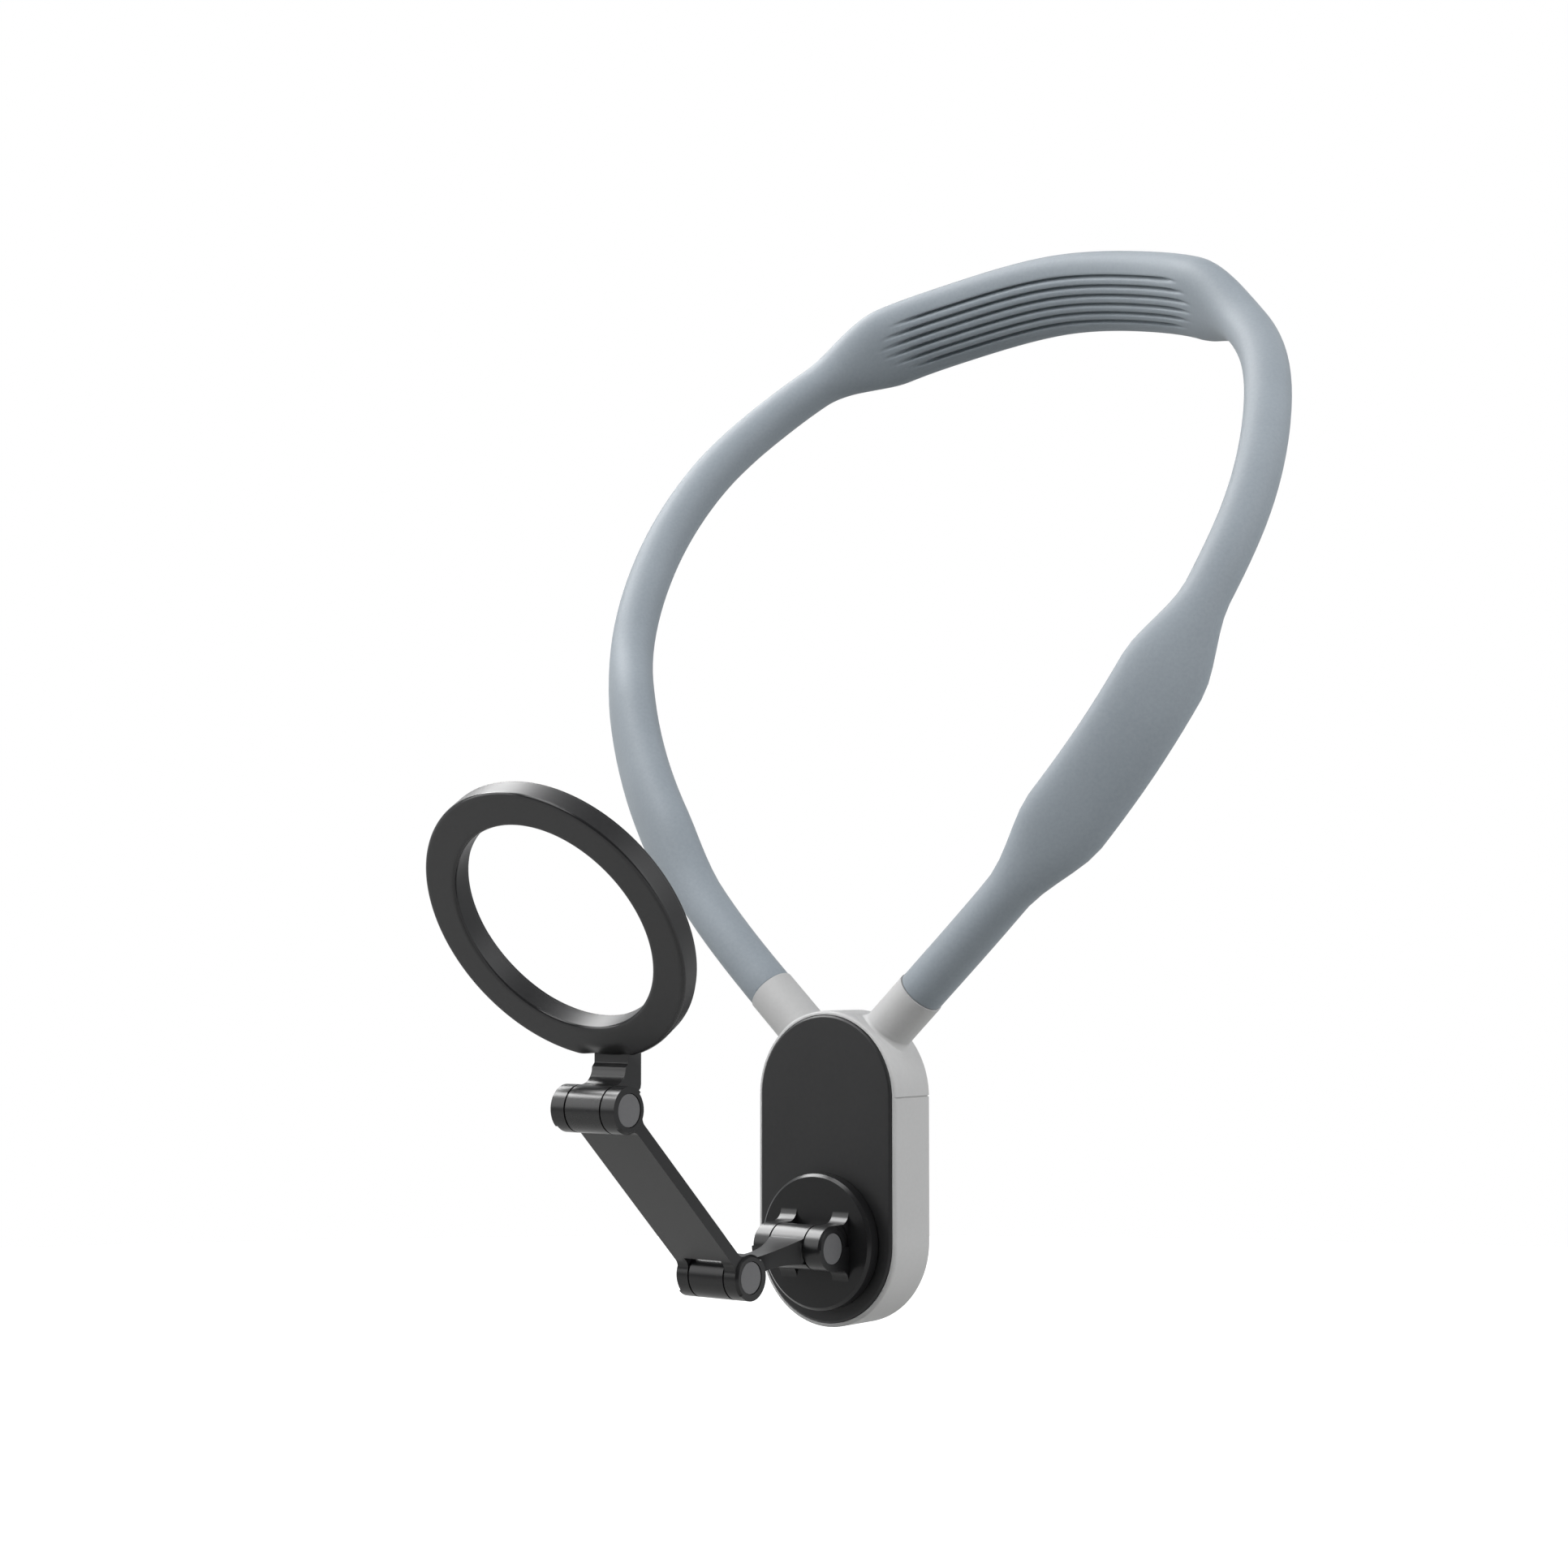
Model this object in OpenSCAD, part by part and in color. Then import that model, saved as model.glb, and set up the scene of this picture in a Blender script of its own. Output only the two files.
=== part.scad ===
/* [Pod] */
// Width of the pod
pod_w = 35; // [34:0.5:39]
// Distance between the centres of the pod's lower and upper round ends
pod_rise = 29.3; // [28:0.1:34]
// Depth of the pod from its front plate to its chest face
pod_depth = 13.6; // [13.4:0.1:17]
// Wall of both housings
shell_wall = 1.7; // [1.6:0.1:2]
// Height of the seam between both housings above the centre of the pod's upper round end
seam_lift = 0.2; // [-1.2:0.1:0.6]
// Rounding of the chest face's edge
back_round = 2; // [1:0.1:2.5]
// Rounding of the housings' front edge
front_round = 0.7; // [0.3:0.1:0.8]
// Thickness of the front plate's rim
plate_t = 1; // [0.8:0.1:1.4]
// How far the front plate stands in front of the housings' rim
plate_stand = 0.5; // [0.2:0.1:0.7]
// Depth of the lip that places the front plate inside the housings
plate_lip = 1; // [0.6:0.1:1.4]
// Width of the groove along the seam
seam_groove = 0.3; // [0.1:0.05:0.4]
// Depth of the groove along the seam
seam_depth = 0.3; // [0.1:0.05:0.4]
// How far the front plate's edge stands inside the housings' edge
plate_step = 0.9; // [0.8:0.05:1.1]
// Bevel round the front plate
plate_bevel = 0.4; // [0.1:0.1:0.5]
// Thickness of the chassis
chassis_t = 2; // [1.6:0.1:2.1]

/* [Sockets and anchor] */
// Angle of the sockets above the horizontal
socket_angle = 43; // [38:1:48]
// How far each socket's end stands out of the pod's upper round end
socket_stand = 11.18; // [10.4:0.02:13]
// Angle at which each socket's end stands round the pod's upper round end
socket_seat = 48; // [44:0.5:52]
// Distance of the sockets' axes behind the front plate's face
socket_y = 7.1; // [7:0.1:7.4]
// Radius of the sockets
socket_r = 5.1; // [4.9:0.1:5.6]
// Radius of the plugs on the core's ends
plug_r = 2.5; // [2.3:0.1:2.6]
// Length of the plugs
plug_len = 20; // [17:0.5:20.5]
// Height of the anchor block's lower face above the centre of the pod's upper round end
anchor_lift = 1.9; // [1.7:0.1:2.7]
// Depth of the anchor block
anchor_t = 6.4; // [6.2:0.1:6.9]

/* [Screws] */
// Radius of the housing screws' shanks
screw_r = 1.1; // [0.9:0.05:1.3]
// Radius of the housing screws' heads
screw_head_r = 2.1; // [1.8:0.1:2.3]
// Height of the housing screws' heads
screw_head_h = 1.2; // [1:0.1:1.4]
// How deep the screw heads lie below the chest face
screw_sink = 0.2; // [0.1:0.05:0.4]
// Distance of the two side screws from the pod's middle, as a share of its half width
side_screw_share = 0.583; // [0.56:0.001:0.605]
// How far the two side screws lie below the centre of the pod's upper round end
side_screw_drop = 10.3; // [8:0.1:12]
// Distance of the bottom screw below the turntable's axis, as a share of the half width
bottom_screw_share = 0.651; // [0.64:0.001:0.663]
// Height of the lower anchor screw above the round end's centre, as a share of the half width
anchor_low_share = 0.27; // [0.26:0.001:0.29]
// Height of the upper anchor screw above the round end's centre, as a share of the half width
anchor_high_share = 0.703; // [0.67:0.001:0.72]

/* [Turntable] */
// Radius of the turntable's disc, as a share of the pod's half width
disc_share = 0.789; // [0.75:0.001:0.85]
// How far the disc's face stands in front of the front plate
disc_stand = 3.3; // [3:0.1:4]
// Bevel round the disc's face
disc_bevel = 0.6; // [0.3:0.1:0.9]
// Thickness of the glide ring under the disc
glide_t = 0.35; // [0.3:0.05:0.6]
// Inner radius of the glide ring, as a share of the disc's radius
glide_in_share = 0.616; // [0.54:0.001:0.69]
// Outer radius of the glide ring, as a share of the disc's radius
glide_out_share = 0.913; // [0.83:0.001:0.93]
// Radius of the hub, as a share of the pod's half width
hub_share = 0.286; // [0.26:0.001:0.3]
// Radius of the retaining disc on the hub, as a share of the pod's half width
hub_plate_share = 0.457; // [0.43:0.001:0.474]
// Thickness of the retaining disc
hub_plate_t = 1.6; // [1.3:0.1:1.9]
// Radius of the hub screw's shank
hub_screw_r = 1.5; // [1.2:0.1:1.8]
// Radius of the hub screw's head
hub_head_r = 2.75; // [2.4:0.05:3.2]
// Height of the hub screw's head
hub_head_h = 1.8; // [1.4:0.1:2]
// Thickness of the spring washer behind the chassis
spring_t = 0.6; // [0.4:0.05:0.8]
// Outer radius of the spring washer, as a share of the retaining disc's radius
spring_share = 0.95; // [0.88:0.01:0.98]

/* [Hinges] */
// Distance of the base hinge's axis in front of the disc's face
base_reach = 5.2; // [5:0.1:6]
// Height of the base hinge's axis above the turntable's axis
base_lift = -0.4; // [-1:0.1:1]
// Radius of the hinge barrels
barrel_r = 4.5; // [4.2:0.1:4.7]
// Bevel on the outer edges of the barrels
barrel_bevel = 0.5; // [0.3:0.1:0.8]
// Width of the middle knuckles
knuckle_w = 8.4; // [7.6:0.2:9]
// Length of the base hinge's barrel
base_barrel_w = 17.2; // [16.4:0.2:18]
// Length of the middle and the ring hinges' barrels
arm_barrel_w = 15.6; // [14.8:0.2:16.4]
// Radius of the hinge pins
pin_r = 2; // [1.7:0.1:2.2]
// Thickness of the friction washers beside the knuckles
washer_t = 0.3; // [0.25:0.05:0.4]
// How far the friction washers' edges lie below the barrels
washer_step = 0.25; // [0.15:0.05:0.4]
// Radius of the end caps
cap_r = 3.15; // [2.9:0.05:3.3]
// Thickness of the end caps
cap_t = 1.1; // [0.9:0.1:1.3]
// How far the end caps lie below the barrels' ends
cap_sink = 0.15; // [0.1:0.05:0.3]
// Half height of the clevis's foot on the disc
foot_half_h = 7.1; // [6.4:0.1:7.6]

/* [Arm] */
// Distance between the short link's axes
short_len = 25.4; // [24:0.2:30]
// How far the short link drops below the horizontal
link_drop = 8; // [4:1:14]
// Thickness of the short link at its waist
waist_t = 3.2; // [2.6:0.1:4]
// Thickness of the short link's web at its barrels
waist_root_t = 5.8; // [5.2:0.1:7]
// Width of the short link at its waist
waist_w = 4.6; // [4:0.1:6]
// Distance between the long bar's axes
long_len = 49.4; // [46:0.2:56]
// How far the long bar rises above the horizontal
bar_lift = 43.2; // [40:0.2:50]
// Thickness of the long bar
bar_t = 2.5; // [2.1:0.1:3]
// Width of the long bar between its barrels
bar_w = 14.4; // [13.4:0.1:15.2]
// Gap between the ring's barrel and the floor of the fork round it
fork_gap = 0.6; // [0.4:0.05:1]
// Gap between the short link's barrel and the floor of the fork round it
low_fork_gap = 1.9; // [1.5:0.05:2.6]
// Rounding between the long bar's faces and its barrels
fork_round = 2; // [1:0.1:3]

/* [Magnetic ring] */
// Outer radius of the ring
ring_r = 28.8; // [28:0.1:30]
// Radius of the ring's window
window_r = 21.8; // [20.8:0.1:22.4]
// Lean of the ring from the vertical
ring_lean = 32.7; // [28:0.1:38]
// Distance of the ring's centre from the ring hinge, along the ring
ring_drop = 35.1; // [34.9:0.1:37]
// Distance of the ring's front face behind the ring hinge's axis
ring_setback = 7.2; // [7:0.1:8]
// Thickness of the ring's body
ring_body_t = 4.2; // [4:0.1:4.8]
// Bevel on the ring's front edges
ring_bevel = 0.7; // [0.3:0.1:0.9]
// Thickness of the ring's front wall
ring_front_t = 1.3; // [1.1:0.1:1.5]
// Thickness of the ring's inner and outer walls
ring_wall = 1.3; // [1:0.1:1.5]
// Thickness of the steel ring behind the magnets
yoke_t = 0.5; // [0.4:0.1:0.7]
// Thickness of the ring's cover
cover_t = 0.7; // [0.5:0.1:1]
// Thickness of the contact pad
pad_t = 0.9; // [0.7:0.1:1.4]
// Number of arc magnets in the ring
magnet_count = 18; // [14:1:22]
// Angle between two arc magnets
magnet_gap = 3; // [2:0.5:5]
// Distance of the neck's front behind the ring hinge's axis
neck_front = 3; // [2.6:0.1:3.2]
// Distance of the neck's back behind the ring hinge's axis
neck_back = 7.4; // [7:0.1:7.6]
// Radius of the hollow between the neck and the barrel
neck_hollow = 3.1; // [2.8:0.1:3.4]
// How far the neck's front steps back above its shoulder
neck_shoulder = 0.7; // [0.4:0.1:1]

/* [Neck loop] */
// Widest half width of the loop's centre line
loop_half_w = 77.8; // [74:0.2:86]
// How far the loop's centre line reaches back from the sockets
loop_depth = 83.9; // [78:0.1:92]
// How far the loop's centre line rises above the sockets' ends
loop_rise = 160; // [152:0.5:172]
// Radius of the sleeve between its pads
sleeve_r = 4.9; // [4.5:0.1:5]
// Radius of the bendable core
core_r = 1.8; // [1.5:0.1:2]
// Width of the chest pads
chest_pad_w = 18; // [16:0.2:20]
// Thickness of the chest pads
chest_pad_t = 10; // [9.6:0.2:12]
// Distance from the socket to the start of each chest pad
chest_pad_from = 28; // [24:1:32]
// Length of each chest pad
chest_pad_len = 73; // [66:1:80]
// Length over which a chest pad narrows to the tube
chest_taper = 20; // [16:1:26]
// Turn of the chest pads out of the loop's plane
chest_turn = 42; // [30:1:50]
// Width of the neck pad
neck_pad_w = 19; // [17:0.2:21]
// Thickness of the neck pad
neck_pad_t = 10; // [9.6:0.2:12]
// Length of the neck pad
neck_pad_len = 131; // [116:1:136]
// Length over which the neck pad narrows to the tube
neck_taper = 22; // [16:1:28]
// Turn of the neck pad out of the loop's plane
neck_turn = -28; // [-36:1:-10]

/* [Clearances] */
// Gap round pieces that seat in one another
seat_gap = 0.1; // [0.05:0.01:0.12]
// Gap round a pin or hub that turns
run_gap = 0.05; // [0.03:0.01:0.08]
// Gap round a pin that is pressed in its ears
press_gap = 0.02; // [0.01:0.01:0.03]

/* [Hidden] */

$fn = 64;
// Overrun of every cut
cut = 1;

// Pod
half_w = pod_w / 2;
shell_y = plate_stand;
plate_r = half_w - plate_step;
cavity_r = half_w - shell_wall;
cavity_end_y = pod_depth - shell_wall;
chassis_y = plate_t + plate_lip;
seam_z = pod_rise + seam_lift;
anchor_z = pod_rise + anchor_lift;
chassis_end_y = chassis_y + chassis_t;
anchor_end_y = chassis_end_y + anchor_t;
socket_len = socket_stand + 1.66 * shell_wall;
socket_dir = [cos(socket_angle), 0, sin(socket_angle)];
socket_reach = half_w + socket_stand;
socket_end = [
    socket_reach * cos(socket_seat), socket_y, pod_rise + socket_reach * sin(socket_seat)
];
boss_r = screw_head_r + 0.4 * screw_head_h;
slot_w_share = 0.3;
side_screw_x = side_screw_share * half_w;
side_screw_z = pod_rise - side_screw_drop;
shell_screw_places = [
    [-side_screw_x, side_screw_z], [side_screw_x, side_screw_z],
    [0, -bottom_screw_share * half_w]
];
anchor_screw_places = [
    [0, pod_rise + anchor_low_share * half_w], [0, pod_rise + anchor_high_share * half_w]
];

// Turntable
disc_r = disc_share * half_w;
glide_in_r = glide_in_share * disc_r;
glide_out_r = glide_out_share * disc_r;
hub_r = hub_share * half_w;
hub_plate_r = hub_plate_share * half_w;
spring_r = spring_share * hub_plate_r;
disc_back_y = -glide_t - run_gap;
hub_end_y = chassis_end_y + spring_t + 2 * run_gap;
hub_bore_depth = hub_end_y + disc_stand / 2;

// Hinge axes as [x, y, z]
base_axis = [0, -disc_stand - base_reach, base_lift];
middle_axis = base_axis + short_len * [0, -cos(link_drop), -sin(link_drop)];
ring_axis = middle_axis + long_len * [0, -cos(bar_lift), sin(bar_lift)];
ear_in = knuckle_w / 2 + washer_t + run_gap;
// How far from its axes the short link's web starts to narrow, in barrel radii
waist_side_share = 0.6;
waist_top_share = 0.9;
cap_pocket = cap_t + cap_sink;

// Magnetic ring
channel_in_r = window_r + ring_wall;
channel_out_r = ring_r - ring_wall;
magnet_y = ring_front_t + yoke_t;
magnet_t = ring_body_t - magnet_y - seat_gap;
cover_edge = 0.3 * ring_wall;
pad_edge = ring_wall;

// Loop: places of the centre line as shares of its half width, depth and rise
width_shares = [0.545, 0.785, 0.94, 1, 0.955, 0.82, 0.61, 0.33, 0];
depth_shares = [0.02, 0.09, 0.2, 0.365, 0.545, 0.735, 0.875, 0.97, 1];
rise_shares = [0.145, 0.3, 0.46, 0.61, 0.745, 0.855, 0.935, 0.98, 1];
loop_steps = 4;
tube_sides = 20;
core_sides = 10;
pad_flat_share = 0.85;
half_route = concat(
    [socket_end],
    [for (i = [0 : len(width_shares) - 1]) [
        width_shares[i] * loop_half_w,
        socket_y + depth_shares[i] * loop_depth,
        socket_end[2] + rise_shares[i] * loop_rise
    ]]
);
first_step = norm(half_route[1] - half_route[0]);
before_start = half_route[1] - 2 * first_step * socket_dir;
route = concat(
    [before_start],
    half_route,
    [for (i = [len(half_route) - 2 : -1 : 0]) mirrored(half_route[i])],
    [mirrored(before_start)]
);
loop_spans = len(route) - 3;
loop_places = [for (k = [0 : loop_spans * loop_steps]) place_at(k / loop_steps)];
loop_runs = [for (k = [0 : loop_spans * loop_steps]) run_at(k / loop_steps)];
loop_lengths = [
    for (i = 0, s = 0; i < len(loop_places);
        i = i + 1,
        s = i < len(loop_places) ? s + norm(loop_places[i] - loop_places[i - 1]) : s) s
];
loop_length = loop_lengths[len(loop_lengths) - 1];
loop_plane = unit([0, -loop_rise, loop_depth]);

// Where the neck rests: the middle of the neck pad's inner face
neck_face_out = outward(unit([-1, 0, 0]), neck_turn);
neck_seat = half_route[len(half_route) - 1] - neck_pad_t / 2 * neck_face_out;

function unit(v) = v / norm(v);
function mirrored(v) = [-v[0], v[1], v[2]];
function clamped(x) = max(0, min(1, x));
function eased(x) = clamped(x) * clamped(x) * (3 - 2 * clamped(x));
function blend(a, b, share) = a + (b - a) * share;

// A smooth curve through the route's points, and its direction
function span_of(u) = min(floor(u), loop_spans - 1);
function curve_point(p, t) = 0.5 * (
    2 * p[1] + (p[2] - p[0]) * t + (2 * p[0] - 5 * p[1] + 4 * p[2] - p[3]) * pow(t, 2)
    + (3 * p[1] - p[0] - 3 * p[2] + p[3]) * pow(t, 3)
);
function curve_run(p, t) = 0.5 * (
    (p[2] - p[0]) + 2 * (2 * p[0] - 5 * p[1] + 4 * p[2] - p[3]) * t
    + 3 * (3 * p[1] - p[0] - 3 * p[2] + p[3]) * pow(t, 2)
);
function four_at(u) = [for (i = [0 : 3]) route[span_of(u) + i]];
function place_at(u) = curve_point(four_at(u), u - span_of(u));
function run_at(u) = unit(curve_run(four_at(u), u - span_of(u)));

// The sleeve's section: its face turns from the chest to the neck
function up_side(run) = unit(loop_plane - (loop_plane * run) * run);
function outward(run, turn) =
    cos(turn) * cross(run, up_side(run)) + sin(turn) * up_side(run);
function from_socket(s) = min(s, loop_length - s);
function chest_share(s) =
    eased((from_socket(s) - chest_pad_from) / chest_taper)
    * eased((chest_pad_from + chest_pad_len - from_socket(s)) / chest_taper);
function neck_share(s) =
    eased((neck_pad_len / 2 - loop_length / 2 + from_socket(s)) / neck_taper);
function half_width(s) = sleeve_r + chest_share(s) * (chest_pad_w / 2 - sleeve_r)
    + neck_share(s) * (neck_pad_w / 2 - sleeve_r);
function half_thick(s) = sleeve_r + chest_share(s) * (chest_pad_t / 2 - sleeve_r)
    + neck_share(s) * (neck_pad_t / 2 - sleeve_r);
function turn_at(s) = blend(
    chest_turn, neck_turn,
    eased((from_socket(s) - chest_pad_from - chest_pad_len)
        / (loop_length / 2 - neck_pad_len / 2 - chest_pad_from - chest_pad_len))
);
function squarer(x, pad) = sign(x) * pow(abs(x), blend(1, pad_flat_share, pad));
function section(place, run, turn, a, b, pad, sides) =
    let (out = outward(run, turn), side = cross(out, run))
    [for (j = [0 : sides - 1])
        place + a * squarer(cos(360 * j / sides), pad) * side
        + b * squarer(sin(360 * j / sides), pad) * out];

// Triangles between the rings of a swept skin
function skin(rings, sides, first, flip) = [
    for (i = [0 : rings - 2]) for (j = [0 : sides - 1])
        let (a = first + i * sides + j, b = first + i * sides + (j + 1) % sides)
        for (t = flip
            ? [[a, b, a + sides], [b, b + sides, a + sides]]
            : [[a, a + sides, b], [b, a + sides, b + sides]]) t
];
function lid(sides, first, flip) = [
    for (j = [1 : sides - 2])
        flip ? [first, first + j + 1, first + j] : [first, first + j, first + j + 1]
];
function collar(sides, outer, inner, flip) = [
    for (j = [0 : sides - 1])
        let (k = (j + 1) % sides)
        for (t = flip
            ? [[outer + j, inner + j, outer + k], [outer + k, inner + j, inner + k]]
            : [[outer + j, outer + k, inner + j], [outer + k, inner + k, inner + j]]) t
];

// Frames: everything is drawn from the turntable's axis on the front plate, then set
// so that the neck pad's inner face is at the origin
module set_down() {
    translate(-neck_seat) children();
}
module at_depth(y, x = 0, z = 0) {
    translate([x, y, z]) rotate([-90, 0, 0]) children();
}
module on_link() {
    translate(base_axis) rotate([90 + link_drop, 0, 0]) children();
}
module on_bar() {
    translate(middle_axis) rotate([90 - bar_lift, 0, 0]) children();
}
module on_ring() {
    translate(ring_axis) rotate([ring_lean - 90, 0, 0]) translate([0, -ring_drop, ring_setback])
        children();
}
module both_sides() {
    children();
    mirror([1, 0, 0]) children();
}

// A stadium-shaped block along Y with round front and back edges
module pod_profile(r, y0, y1, front, back) {
    difference() {
        translate([0, y0]) square([r, y1 - y0]);
        if (front > 0) edge_cut(r, y0, front, 1);
        if (back > 0) edge_cut(r, y1, back, -1);
    }
}
module edge_cut(r, y, round, way) {
    difference() {
        translate([r - round, way > 0 ? y - cut : y - round]) square([round + cut, round + cut]);
        translate([r - round, y + way * round]) circle(r = round);
    }
}
module half_turn(r, y0, y1, front, back) {
    rotate([-90, 0, 0]) rotate_extrude(angle = 180) pod_profile(r, y0, y1, front, back);
}
module pod_form(r, y0, y1, front = 0, back = 0) {
    half_turn(r, y0, y1, front, back);
    linear_extrude(height = pod_rise) {
        pod_profile(r, y0, y1, front, back);
        mirror([1, 0]) pod_profile(r, y0, y1, front, back);
    }
    translate([0, 0, pod_rise]) mirror([0, 0, 1]) half_turn(r, y0, y1, front, back);
}
module above_seam() {
    translate([-pod_w, -pod_depth, seam_z]) cube([2 * pod_w, 3 * pod_depth, 2 * pod_w]);
}
module below_seam() {
    translate([-pod_w, -pod_depth, seam_z - 3 * pod_w]) cube([2 * pod_w, 3 * pod_depth, 3 * pod_w]);
}
module seam_cut() {
    difference() {
        translate([-pod_w, -pod_depth, seam_z - seam_groove / 2])
            cube([2 * pod_w, 3 * pod_depth, seam_groove]);
        pod_form(half_w - seam_depth, -2 * pod_depth, pod_depth - seam_depth, 0, back_round - seam_depth);
    }
}

// Cuts and bosses of a housing screw
module screw_cuts(places) {
    for (p = places) {
        at_depth(chassis_end_y - cut, p[0], p[1]) cylinder(h = pod_depth, r = screw_r + seat_gap);
        at_depth(pod_depth - screw_head_h - screw_sink, p[0], p[1])
            cylinder(h = screw_head_h + screw_sink + cut, r = screw_head_r + seat_gap);
    }
}
module screw_bosses(places, y) {
    for (p = places) {
        at_depth(y, p[0], p[1]) cylinder(h = cavity_end_y + shell_wall / 2 - y, r = boss_r);
    }
}
module screws(places, tip_y) {
    for (p = places) {
        difference() {
            union() {
                at_depth(tip_y, p[0], p[1]) cylinder(h = pod_depth - screw_sink - tip_y, r = screw_r);
                at_depth(pod_depth - screw_sink - screw_head_h, p[0], p[1])
                    cylinder(h = screw_head_h, r = screw_head_r);
            }
            for (a = [0, 90]) {
                at_depth(pod_depth - screw_sink - screw_head_h / 2, p[0], p[1]) rotate([0, 0, a])
                    translate([-screw_head_r * 0.7, -screw_head_r * slot_w_share / 2, 0])
                    cube([screw_head_r * 1.4, screw_head_r * slot_w_share, cut]);
            }
        }
    }
}

// Housings
module shell_hollow() {
    pod_form(cavity_r, shell_y - cut, cavity_end_y);
    pod_form(plate_r + seat_gap, shell_y - cut, plate_t);
}
module socket_tube(r, start, end) {
    both_sides() translate(socket_end - start * socket_dir) rotate([0, 90 - socket_angle, 0])
        cylinder(h = start + end, r = r);
}
module upper_shell() {
    color("#b8b8b8") difference() {
        union() {
            difference() {
                union() {
                    intersection() {
                        pod_form(half_w, shell_y, pod_depth, front_round, back_round);
                        above_seam();
                    }
                    socket_tube(socket_r, socket_len, 0);
                }
                shell_hollow();
                seam_cut();
            }
            intersection() {
                screw_bosses(anchor_screw_places, anchor_end_y + seat_gap);
                above_seam();
            }
        }
        socket_tube(plug_r + seat_gap, socket_len + cut, cut);
        screw_cuts(anchor_screw_places);
    }
}
module lower_shell() {
    color("#b8b8b8") difference() {
        union() {
            difference() {
                intersection() {
                    pod_form(half_w, shell_y, pod_depth, front_round, back_round);
                    below_seam();
                }
                shell_hollow();
                seam_cut();
            }
            screw_bosses(shell_screw_places, chassis_end_y);
        }
        screw_cuts(shell_screw_places);
    }
}
module front_plate() {
    color("#343434") difference() {
        union() {
            difference() {
                pod_form(plate_r, 0, plate_t);
                plate_bevel_cut();
            }
            pod_form(cavity_r - seat_gap, plate_t / 2, chassis_y);
        }
        at_depth(-cut) cylinder(h = chassis_y + 2 * cut, r = hub_r + 4 * seat_gap);
    }
}
module bevel_profile() {
    polygon([
        [plate_r - plate_bevel, 0], [plate_r, plate_bevel],
        [half_w + cut, plate_bevel], [half_w + cut, -cut], [plate_r - plate_bevel, -cut]
    ]);
}
module plate_bevel_cut() {
    rotate([-90, 0, 0]) rotate_extrude(angle = 180) bevel_profile();
    linear_extrude(height = pod_rise) {
        bevel_profile();
        mirror([1, 0]) bevel_profile();
    }
    translate([0, 0, pod_rise]) mirror([0, 0, 1]) rotate([-90, 0, 0]) rotate_extrude(angle = 180)
        bevel_profile();
}
module chassis() {
    color("#8a8d90") difference() {
        pod_form(cavity_r - seat_gap, chassis_y, chassis_end_y);
        at_depth(chassis_y - cut) cylinder(h = chassis_t + 2 * cut, r = hub_r + run_gap);
        for (p = concat(shell_screw_places, anchor_screw_places)) {
            at_depth(chassis_y - cut, p[0], p[1])
                cylinder(h = chassis_t + 2 * cut, r = screw_r + seat_gap);
        }
    }
}
module anchor_block() {
    color("#7c7f82") difference() {
        intersection() {
            pod_form(cavity_r - seat_gap, chassis_end_y, anchor_end_y);
            translate([-pod_w, 0, anchor_z]) cube([2 * pod_w, pod_depth, pod_w]);
        }
        socket_tube(plug_r + seat_gap, plug_len + seat_gap, cut);
        for (p = anchor_screw_places) {
            at_depth(chassis_y, p[0], p[1]) cylinder(h = pod_depth, r = screw_r + seat_gap);
        }
    }
}
module anchor_screws() {
    color("#5a5c5e") screws(anchor_screw_places, chassis_y + seat_gap);
}
module shell_screws() {
    color("#5a5c5e") screws(shell_screw_places, chassis_y + seat_gap);
}

// Turntable with its hub and the ears of the base hinge
module glide_ring() {
    color("#e4e2dc") difference() {
        at_depth(-glide_t) cylinder(h = glide_t, r = glide_out_r);
        at_depth(-glide_t - cut) cylinder(h = glide_t + 2 * cut, r = glide_in_r);
    }
}
module disc() {
    disc_t = disc_stand + disc_back_y;
    at_depth(-disc_stand) cylinder(h = disc_bevel, r1 = disc_r - disc_bevel, r2 = disc_r);
    at_depth(-disc_stand + disc_bevel) cylinder(h = disc_t - disc_bevel, r = disc_r);
}
module clevis_profile() {
    foot_root = base_reach + disc_bevel;
    foot_round = foot_half_h - barrel_r;
    circle(r = barrel_r);
    difference() {
        translate([0, -foot_half_h]) square([foot_root, 2 * foot_half_h]);
        for (side = [-1, 1]) {
            translate([base_reach - foot_round, side * foot_half_h]) circle(r = foot_round);
            translate([-cut, side > 0 ? barrel_r : -barrel_r - foot_round - cut])
                square([base_reach - foot_round + cut, foot_round + cut]);
        }
    }
}
module turntable() {
    color("#2f2f2f") difference() {
        union() {
            disc();
            at_depth(disc_back_y) cylinder(h = hub_end_y - disc_back_y, r = hub_r);
            difference() {
                translate(base_axis) across(base_barrel_w) clevis_profile();
                translate(base_axis) barrel_end_bevels(base_barrel_w);
                translate([-ear_in, base_axis[1] - 2 * barrel_r, -2 * foot_half_h])
                    cube([2 * ear_in, 2 * barrel_r + base_reach, 4 * foot_half_h]);
            }
        }
        at_depth(hub_end_y - hub_bore_depth) cylinder(h = hub_bore_depth + cut, r = hub_screw_r + seat_gap);
        translate(base_axis) hinge_bores(base_barrel_w);
    }
}
module spring_washer() {
    color("#9a9a96") difference() {
        at_depth(chassis_end_y + run_gap) cylinder(h = spring_t, r = spring_r);
        at_depth(chassis_end_y - cut) cylinder(h = spring_t + 3 * cut, r = hub_r + seat_gap);
    }
}
module hub_plate() {
    color("#8a8d90") difference() {
        at_depth(hub_end_y) cylinder(h = hub_plate_t, r = hub_plate_r);
        at_depth(hub_end_y - cut) cylinder(h = hub_plate_t + 2 * cut, r = hub_screw_r + seat_gap);
    }
}
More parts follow.
